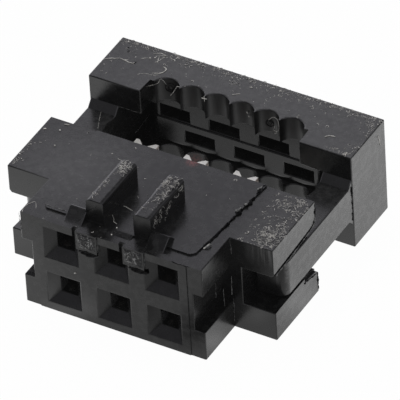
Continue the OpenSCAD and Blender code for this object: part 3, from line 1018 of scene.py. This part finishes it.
# %% Hairs and flakes
COVER_HAIRS = (
    on_top(TOP, 0.012, (-5.22, 8.55), (-5.13, 8.64), (-4.98, 8.73), (-4.85, 8.79), (-4.72, 8.85),
           (-4.51, 8.83), (-4.28, 8.79), (-4.17, 8.81), (-4.12, 8.93)),
    ((0.007, 0.01, 0.016, 0.018, 0.015, 0.008),
     [(-3.3, 8.62, 4.006), (-3.16, 8.67, 4.006), (-2.98, 8.79, 4.01), (-2.94, 9.0, 4.01), (-3.03, 9.08, 4.01),
      (-3.12, 9.1, 4.006)]),
    on_top(TOP, 0.006, (-3.42, 9.21), (-3.49, 9.43), (-3.53, 9.6), (-3.3, 9.72)),
    on_top(TOP, 0.02, (-3.39, 9.66), (-3.35, 9.68)),
    on_top(TOP, 0.024, (-3.81, 9.33), (-3.77, 9.35)),
    on_top(TOP, 0.02, (-3.65, 9.41), (-3.61, 9.43)),
    on_top(TOP, 0.02, (-0.39, 9.88), (-0.35, 9.9)),
    on_top(TOP, 0.014, (-0.16, 8.8), (-0.04, 8.9), (0.06, 8.97)),
    on_top(TOP, 0.016, (3.88, 8.19), (4.01, 8.32), (4.2, 8.35)),
    in_groove(1.5, 0.01, (1.38, 3.55), (1.55, 3.72), (1.75, 3.72), (1.85, 3.55), (1.8, 3.3), (1.68, 3.15),
              (1.56, 3.16), (1.62, 3.36)),
    in_groove(1.5, 0.01, (1.68, 3.15), (1.66, 3.05), (1.58, 2.99)),
    (0.004, [(-3.21, 8.0, 3.88), (-3.04, 7.95, 4.0), (-2.83, 8.21, 4.01), (-2.86, 8.46, 4.01),
             (-2.7, 8.4, 4.01), (-2.53, 8.3, 4.0)]),
    (0.013, [(-2.51, 8.5, 3.36), (-2.34, 8.5, 3.63), (-2.22, 8.5, 3.86), (-2.07, 8.5, 3.9),
             (-1.88, 8.5, 4.0)]),
    on_top(TOP, 0.005, (-3.73, 8.34), (-3.52, 8.5), (-3.23, 8.53), (-3.07, 8.63)),
    on_top(TOP, 0.008, (-3.8, 9.58), (-3.58, 9.73), (-3.4, 9.72), (-3.34, 9.69)),
    on_top(TOP, 0.007, (-3.34, 9.6), (-3.45, 9.29), (-3.51, 9.2)),
    on_top(TOP, 0.007, (-4.05, 9.17), (-3.9, 9.28), (-3.72, 9.31)),
    on_top(TOP, 0.007, (-3.12, 9.63), (-3.0, 9.63), (-2.9, 9.55)),
    on_wall(8.3, 0.014, (-1.0, 3.78), (-1.0, 4.0)),
    on_wall(8.3, 0.014, (-1.1, 3.9), (-0.9, 3.92)),
    on_wall(8.62, 0.022, (0.52, 3.62), (0.54, 3.56)),
    on_wall(8.62, 0.018, (0.58, 3.48), (0.6, 3.42)),
    on_side(SIDE, 0.014, (9.47, 3.61), (9.53, 3.4), (9.58, 3.13)),
    (0.005, [(-4.31, 6.43, 2.73), (-4.5, 6.85, 2.73), (-4.66, 7.25, 2.75)]),
)
HOUSING_HAIRS = (
    on_top(TOP, 0.03, (-4.6, 4.41), (-4.56, 4.43)),
    on_top(TOP, 0.028, (-4.33, 3.6), (-4.29, 3.62)),
    on_top(TOP, 0.024, (-5.14, 4.24), (-5.06, 4.3)),
    on_top(TOP, 0.024, (-5.2, 2.68), (-5.16, 2.7)),
    on_top(TOP, 0.02, (-4.6, 4.78), (-4.44, 4.82)),
    on_top(TOP, 0.026, (3.1, 1.05), (3.13, 1.2), (3.15, 1.37)),
    on_top(PLATE_TOP, 0.008, (-0.66, 1.3), (-0.62, 1.22), (-0.43, 1.02), (-0.36, 0.9), (-0.2, 0.83)),
    on_top(PLATE_TOP, 0.024, (-0.11, 0.63), (-0.07, 0.65)),
    on_top(PLATE_TOP, 0.024, (-0.08, 0.23), (-0.04, 0.25)),
    on_top(PLATE_TOP, 0.016, (-0.57, 3.36), (-0.53, 3.38)),
    on_top(PLATE_TOP, 0.016, (-2.28, 4.04), (-2.24, 4.06)),
    on_top(PLATE_TOP, 0.007, (-0.47, 1.78), (-0.29, 1.74), (-0.06, 1.68)),
    on_top(PLATE_TOP, 0.012, (-1.94, 3.9), (-1.76, 3.87)),
    on_top(TOP, 0.007, (-3.5, 0.0), (-3.56, 0.34), (-3.38, 0.67), (-3.16, 0.38)),
    on_wall(-0.03, 0.022, (-1.52, 2.02), (-1.46, 2.05)),
)
hair_values = {"Material": hair_finish, "Step": 0.02 * MM, "Shake": 0.025 * MM, "Ragged": 0.25,
               "Fineness": 0.08 * MM}
cover_hairs = grown("hairs_on_cover", "cover", line_guide("cover_lines", COVER_HAIRS), threads,
                    {**hair_values, "Seed": 1.0})
housing_hairs = grown("hairs_on_housing", "housing", line_guide("housing_lines", HOUSING_HAIRS), threads,
                      {**hair_values, "Seed": 2.0})
print("hair faces:", len(cover_hairs.data.polygons), len(housing_hairs.data.polygons))

# %% [markdown]
# ## Ragged flash, painted shade and painted highlights
#
# Where two parts of a mould meet, a little plastic creeps between them and breaks off unevenly. Along the
# plate's right edge, a torn dark line is partly such flash and partly painted shade: it stands for the
# shadow in the gap under the plate's raised edge. Thinner lines run down the ear, the arm and the cover's
# side. These lines lie low in the corner that they follow. A few pale flakes of the same flash stick up
# along them. Two pale threads on the cover are painted highlights. One lies under the lower front edge of
# its left tab, and one lies low on the inner face of its left side.
#
# The same threads make three smaller marks. Under each torn gate, a dark thread is painted shade for the
# shadow of the undercut beneath the overhanging pad. At each pad's right, a thread fills the gap behind it,
# and its grey is painted to the tone of the lit wall beside it. Two of the wire grooves have round marks.
# Cuts in the solids could make them too, but they are ragged and hardly deeper than a hair, so a dark or
# dull thread in the surface shows them. The painted shadows and the rims shake less than the flash does.

# %% Flash lines, painted shadows and painted highlights
HOUSING_FLASH_AND_SHADE = (
    # The first four lines follow the plate's right edge. They are partly flash and partly painted shade of
    # the gap under the plate's raised edge.
    (0.04, [(3.0, 0.95, 4.02), (3.12, 1.61, 4.02), (3.16, 2.2, 4.02), (3.19, 2.8, 4.02)]),
    (0.05, [(3.19, 2.8, 4.03), (3.23, 3.11, 4.03), (3.25, 3.44, 4.03), (3.24, 3.69, 4.03)]),
    (0.055, [(3.24, 3.69, 4.03), (3.37, 3.85, 4.02), (3.28, 3.96, 4.03)]),
    (0.04, [(3.28, 3.96, 4.03), (3.32, 4.23, 4.03), (3.31, 4.55, 4.03), (3.27, 4.74, 4.03),
            (3.35, 4.93, 4.02)]),
    (0.022, [(5.265, 2.02, 2.88), (5.265, 2.76, 2.9), (5.265, 3.44, 2.94), (5.265, 4.18, 3.0),
             (5.265, 4.78, 3.1)]),
    (0.02, [(5.265, 4.8, 3.15), (5.265, 4.92, 3.44), (5.265, 4.93, 3.9)]),
    (0.022, [(5.255, 4.0, 1.03), (5.262, 4.33, 0.98), (5.262, 4.7, 0.89), (5.262, 4.92, 0.83)]),
    ((0.014, 0.012, 0.045, 0.025, 0.012),
     [(5.265, 4.92, 0.8), (5.265, 4.92, 0.66), (5.25, 4.885, 0.52), (5.26, 4.905, 0.4), (5.265, 4.92, 0.12)]),
    (0.016, [(2.4, -0.02, 3.995), (2.64, -0.02, 3.995), (2.87, -0.02, 3.995), (3.11, -0.02, 3.995)]),
)
COVER_FLASH = (
    (0.016, [(5.255, 7.53, 2.74), (5.255, 7.53, 2.2), (5.255, 7.55, 1.7), (5.255, 7.53, 1.25)]),
    on_top(TOP, 0.01, (-4.68, 9.3), (-4.64, 9.38)),
    on_top(TOP, 0.01, (-4.79, 9.48), (-4.75, 9.54)),
    on_top(TOP, 0.012, (-4.22, 8.78), (-4.15, 8.82), (-4.12, 8.93)),
)
GROOVE_RINGS = (
    in_groove(1.5, 0.018, *round_line(1.42, 3.4, 0.06)),
    in_groove(1.5, 0.022, *round_line(1.42, 3.4, 0.14)),
    in_groove(-2.5, 0.02, *round_line(-2.57, 3.57, 0.09)),
    in_groove(-2.5, 0.026, *round_line(-2.57, 3.57, 0.18)),
)
# The rims fill the gap behind each pad's right side. Their grey is painted to the tone of the lit wall beside
# them.
RIM_RADIUS = 0.045
RIM_X = (-0.535, 1.335)
RIM_LINES = {-0.015: (3.3, 3.6, 3.9), 0.07: (3.26, 3.5, 3.8)}
GATE_RIMS = [(RIM_RADIUS, [(x, y, z) for z in heights]) for x in RIM_X for y, heights in RIM_LINES.items()]
# Painted highlights: a pale thread under the lower front edge of the cover's left tab, and one low on the
# inner face of its left side.
COVER_HIGHLIGHTS = (
    (0.007, [(-4.23, 7.58, 3.03), (-4.1, 7.564, 2.988), (-3.7, 7.564, 2.986), (-3.25, 7.564, 2.988),
             (-3.16, 7.58, 3.03)]),
    on_side(-4.1, 0.012, (9.55, 1.19), (9.08, 1.14), (8.5, 1.09)),
)
# Painted shade: a dark thread under each torn gate stands for the shadow of the undercut beneath the
# overhanging pad.
GATE_SLOT_SHADES = (
    ((0.015, 0.05, 0.055, 0.05, 0.015),
     [(-1.28, -0.04, 3.1), (-1.12, -0.045, 3.18), (-0.92, -0.045, 3.21), (-0.72, -0.045, 3.2),
      (-0.56, -0.04, 3.14)]),
    ((0.015, 0.05, 0.055, 0.05, 0.015),
     [(0.7, -0.04, 3.1), (0.86, -0.045, 3.18), (1.06, -0.045, 3.21), (1.26, -0.045, 3.2),
      (1.46, -0.04, 3.14)]),
    ((0.02, 0.085, 0.1, 0.085, 0.02),
     [(-1.3, 0.04, 3.06), (-1.14, 0.04, 3.03), (-0.92, 0.04, 3.03), (-0.72, 0.04, 3.06),
      (-0.58, 0.04, 3.12)]),
    ((0.02, 0.085, 0.1, 0.085, 0.06),
     [(0.7, 0.04, 3.06), (0.86, 0.04, 3.03), (1.08, 0.04, 3.03), (1.28, 0.04, 3.06), (1.45, 0.04, 3.12)]),
)
FLASH_FLAKES = (
    (0.03, [(3.12, 1.1, 4.05), (3.2, 1.2, 4.07), (3.24, 1.3, 4.05)]),
    (0.035, [(3.13, 3.2, 4.08), (3.2, 3.32, 4.1), (3.22, 3.46, 4.08)]),
    (0.03, [(3.24, 3.64, 4.08), (3.32, 3.72, 4.09)]),
    (0.035, [(3.24, 4.55, 4.08), (3.3, 4.66, 4.1), (3.31, 4.8, 4.08)]),
    (0.021, [(5.272, 2.1, 2.84), (5.275, 2.9, 2.86), (5.275, 3.5, 2.91), (5.275, 4.3, 2.98),
             (5.27, 4.85, 3.1)]),
    (0.009, [(-2.94, 0.66, 4.06), (-2.52, 0.65, 4.065), (-2.12, 0.66, 4.065)]),
    (0.012, [(-3.6, -0.02, 3.96), (-3.6, -0.02, 3.6), (-3.6, -0.02, 3.2)]),
    (0.011, [(3.59, 1.96, 2.3), (3.57, 1.96, 1.86), (3.55, 1.96, 1.45)]),
    (0.009, [(3.23, 1.94, 1.6), (3.36, 1.75, 1.4), (3.49, 1.55, 1.22)]),
    (0.01, [(3.62, 1.955, 1.3), (3.62, 1.955, 0.8), (3.615, 1.955, 0.26)]),
    (0.006, [(3.205, 1.52, 2.16), (3.205, 1.5, 1.85), (3.205, 1.46, 1.54)]),
    (0.006, [(3.62, 1.96, 3.95), (3.62, 1.96, 3.6), (3.63, 1.96, 3.29)]),
)
print("flash lines:", len(HOUSING_FLASH_AND_SHADE), len(COVER_FLASH), "flakes:", len(FLASH_FLAKES), len(COVER_HIGHLIGHTS))

# %% Flash, flakes, painted shadows and painted highlights
# The darkest colour serves for flash, and for painted shade along the plate's edge and under the torn gates.
SHADE_AND_FLASH_DARK = (0.0015, 0.0015, 0.0017, 1.0)
FLASH_GREY = (0.012, 0.012, 0.0125, 1.0)
DULL_FLASH_AND_HIGHLIGHT = (0.08, 0.08, 0.08, 1.0)
PALE_FLASH_AND_HIGHLIGHT = (0.3, 0.3, 0.3, 1.0)
SLOT_SHADE_GREY = (0.016, 0.016, 0.0165, 1.0)
RIM_SHEEN_AND_RING_DULL = (0.04, 0.04, 0.04, 1.0)
RIM_SHEEN_GREY = (0.11, 0.11, 0.11, 1.0)
FLASH_EDGE = (0.35, 0.65)
FLASH_ROUGH = 0.5
DULL = 0.08
RING_SHINE = 0.1
SLIGHT_SHINE = 0.25


def ragged_thread_finish(name, dark, light, gloss):
    material, graph = new_material(name)
    tone = noise(frame_position(graph), 9.0, 3.0)
    colour = tone.between(*FLASH_EDGE).blend(dark, light)
    return finished(material, graph, {"Base Color": colour, "Roughness": FLASH_ROUGH + 0.3 * tone,
                                      "Specular IOR Level": gloss})


# Near-black threads: flash, and painted shade along the plate's right edge.
dark_flash_and_shade = ragged_thread_finish("dark_flash_and_shade", SHADE_AND_FLASH_DARK, FLASH_GREY, DULL)
# Pale threads: flakes of flash on the housing, and painted highlights on the cover.
pale_flash_and_highlights = ragged_thread_finish("pale_flash_and_highlights", DULL_FLASH_AND_HIGHLIGHT, PALE_FLASH_AND_HIGHLIGHT, SLIGHT_SHINE)
# Painted sheen: the rims' grey matches the lit wall beside them.
rim_sheen = ragged_thread_finish("rim_sheen", RIM_SHEEN_AND_RING_DULL, RIM_SHEEN_GREY, SLIGHT_SHINE)
# Painted shade for the undercuts under the torn gates.
slot_shade = ragged_thread_finish("slot_shade", SHADE_AND_FLASH_DARK, SLOT_SHADE_GREY, DULL)
ring_flash = ragged_thread_finish("ring_flash", FLASH_GREY, RIM_SHEEN_AND_RING_DULL, RING_SHINE)
flash_values = {"Step": 0.03 * MM, "Shake": 0.07 * MM, "Ragged": 1.1, "Fineness": 0.14 * MM}
calm_values = {**flash_values, "Shake": 0.02 * MM, "Ragged": 0.3}
for name, body, lines, finish, values, seed in (
        # These threads include painted shade along the plate's edge and under the gates, painted highlights
        # on the cover and a painted sheen on the rims.
        ("flash_and_shade_on_housing", "housing", HOUSING_FLASH_AND_SHADE, dark_flash_and_shade, flash_values, 3.0),
        ("flash_on_cover", "cover", COVER_FLASH, dark_flash_and_shade, flash_values, 4.0),
        ("groove_rings", "cover", GROOVE_RINGS, ring_flash, flash_values, 4.0),
        ("flakes_on_housing", "housing", FLASH_FLAKES, pale_flash_and_highlights, flash_values, 5.0),
        ("highlights_on_cover", "cover", COVER_HIGHLIGHTS, pale_flash_and_highlights, calm_values, 8.0),
        ("gate_rims", "housing", GATE_RIMS, rim_sheen, calm_values, 9.0),
        ("gate_slot_shades", "housing", GATE_SLOT_SHADES, slot_shade, calm_values, 6.0)):
    flash = grown(name, body, line_guide(name + "_lines", lines), threads,
                  {**values, "Material": finish, "Seed": seed})
    print(name, "faces:", len(flash.data.polygons))

# %% [markdown]
# ## Worn and chipped edges
#
# Between the two keys the plate runs out into the nose's top without a step, as if worn. On the right, the
# lower ear has kept a low lip under the arm, and behind it the edge is chipped. Moving the housing's own
# edges would also bend the faces beside them. So each of these is a short closed bar along the rows, with
# its outline given in y and z, and most of it lies inside the housing.

# %% Worn edges
WORN_EDGES = {
    "worn_step": ((-0.62, 0.62), ((0.3, 3.998), (0.58, 4.062), (0.58, 3.98))),
    "ear_lip": ((5.0, 5.268), ((1.99, 1.15), (1.99, 1.2), (2.2, 1.215), (4.02, 1.215), (4.02, 0.95))),
    "ear_chip": ((4.9, 5.14), ((4.0, 0.95), (4.0, 1.215), (4.35, 1.19), (4.92, 0.96), (4.92, 0.78))),
}


def bar(name, across, outline):
    """A closed bar along the rows, with this outline in y and z."""
    body = bmesh.new()
    ends = [[body.verts.new(place(x, y, z)) for y, z in outline] for x in across]
    for end in ends:
        body.faces.new(end)
    for i in range(len(outline)):
        body.faces.new((ends[0][i - 1], ends[0][i], ends[1][i], ends[1][i - 1]))
    bmesh.ops.recalc_face_normals(body, faces=body.faces)
    mesh = bpy.data.meshes.new(name)
    body.to_mesh(mesh)
    body.free()
    mesh.materials.append(plastic)
    piece = bpy.data.objects.new(name, mesh)
    bpy.context.scene.collection.objects.link(piece)
    return piece


for name, (across, outline) in WORN_EDGES.items():
    worn = bar(name, across, outline)
    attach(worn, "housing")
    print(name, "faces:", len(worn.data.polygons))

# %% [markdown]
# ## Torn gates
#
# The plastic entered the mould through two small gates over the walls between the pin ways. When they were
# broken off they left rough pads. A bump would look flat from the side, so a closed block with a fine mesh
# covers each pad. Its front is pushed about by a noise, which fades out at the rim so that the block ends
# in the pad.

# %% Torn pads
PAD_X = 0.935
PAD_WIDTH = 0.8
PAD_BOTTOM = 3.28
PAD_TOP = 3.98
PAD_Z = (PAD_BOTTOM + PAD_TOP) / 2
PAD_FRONT = -0.072
PAD_DEPTH = 0.06
TORN_DARK = (0.003, 0.003, 0.0032, 1.0)
TORN_LIGHT = (0.26, 0.26, 0.26, 1.0)
TORN_REACH = 0.46
TORN_EDGE = (0.47, 0.6)
TORN_PATCH = (0.42, 0.56)
TORN_ROUGH = 0.35
TORN_DEPTH = 0.13 * MM
TORN_FINENESS = 0.14 * MM
FADE = (0.5, 0.32)
MOSTLY_FORWARD = (0.5, 0.9, 0.5)
FRONT_HALF = -0.25
PAD_GRID = (48, 46)


def torn_plastic():
    material, graph = new_material("torn_plastic")
    point = frame_position(graph)
    left, right_pad = (distance(point, (side * PAD_X, PAD_FRONT, PAD_Z)) for side in (-1, 1))
    torn_most = left.maths("MINIMUM", left, right_pad).between(TORN_REACH, 0.5 * TORN_REACH)
    tone = noise(point, 19.0).between(*TORN_EDGE) * noise(point, 7.0, 1.0).between(*TORN_PATCH)
    colour = (torn_most * tone).blend(TORN_DARK, TORN_LIGHT)
    rough = TORN_ROUGH + 0.3 * noise(point, 40.0)
    return finished(material, graph, {"Base Color": colour, "Roughness": rough, "IOR": PLASTIC_IOR})


def torn_tree():
    tree, given = new_tree("torn_pad", {"Size": "Vector", "Middle": "Vector", "Depth": "Float",
                                        "Fineness": "Float", "Seed": "Float"})
    graph = Socket(tree)
    grid = {"Size": given["Size"], "Vertices X": PAD_GRID[0], "Vertices Y": 2, "Vertices Z": PAD_GRID[1]}
    block = graph.make("GeometryNodeMeshCube", None, grid, "Mesh")
    where = graph.make("GeometryNodeInputPosition")
    x, y, z = graph.vector_maths("DIVIDE", where, given["Size"]).parts()
    front = (y < FRONT_HALF) * abs(x).at_least(abs(z)).between(*FADE)
    cloud = seeded_noise(where, given, 3.0)
    shake = graph.vector_maths("SUBTRACT", cloud.sibling("Color"), MOSTLY_FORWARD)
    push = graph.vector_maths("SCALE", shake, front * given["Depth"])
    torn = graph.make("GeometryNodeSetPosition", None, {"Geometry": block, "Offset": push})
    laid = graph.make("GeometryNodeTransform", None, {"Geometry": torn, "Translation": given["Middle"]})
    end_tree(graph, laid, given["Material"])
    return tree


torn_pads = torn_tree()
torn_finish = torn_plastic()
for name, side, seed in (("torn_gate_left", -1, 7.0), ("torn_gate_right", 1, 9.5)):
    middle = place(side * PAD_X, PAD_FRONT + PAD_DEPTH / 2, PAD_Z)
    size = Vector((PAD_WIDTH, PAD_DEPTH, PAD_TOP - PAD_BOTTOM)) * MM
    pad = grown(name, "housing", bpy.data.meshes.new(name + "_guide"), torn_pads,
                {"Material": torn_finish, "Size": size, "Middle": middle, "Depth": TORN_DEPTH,
                 "Fineness": TORN_FINENESS, "Seed": seed})
    print(name, "faces:", len(pad.data.polygons))

# %% [markdown]
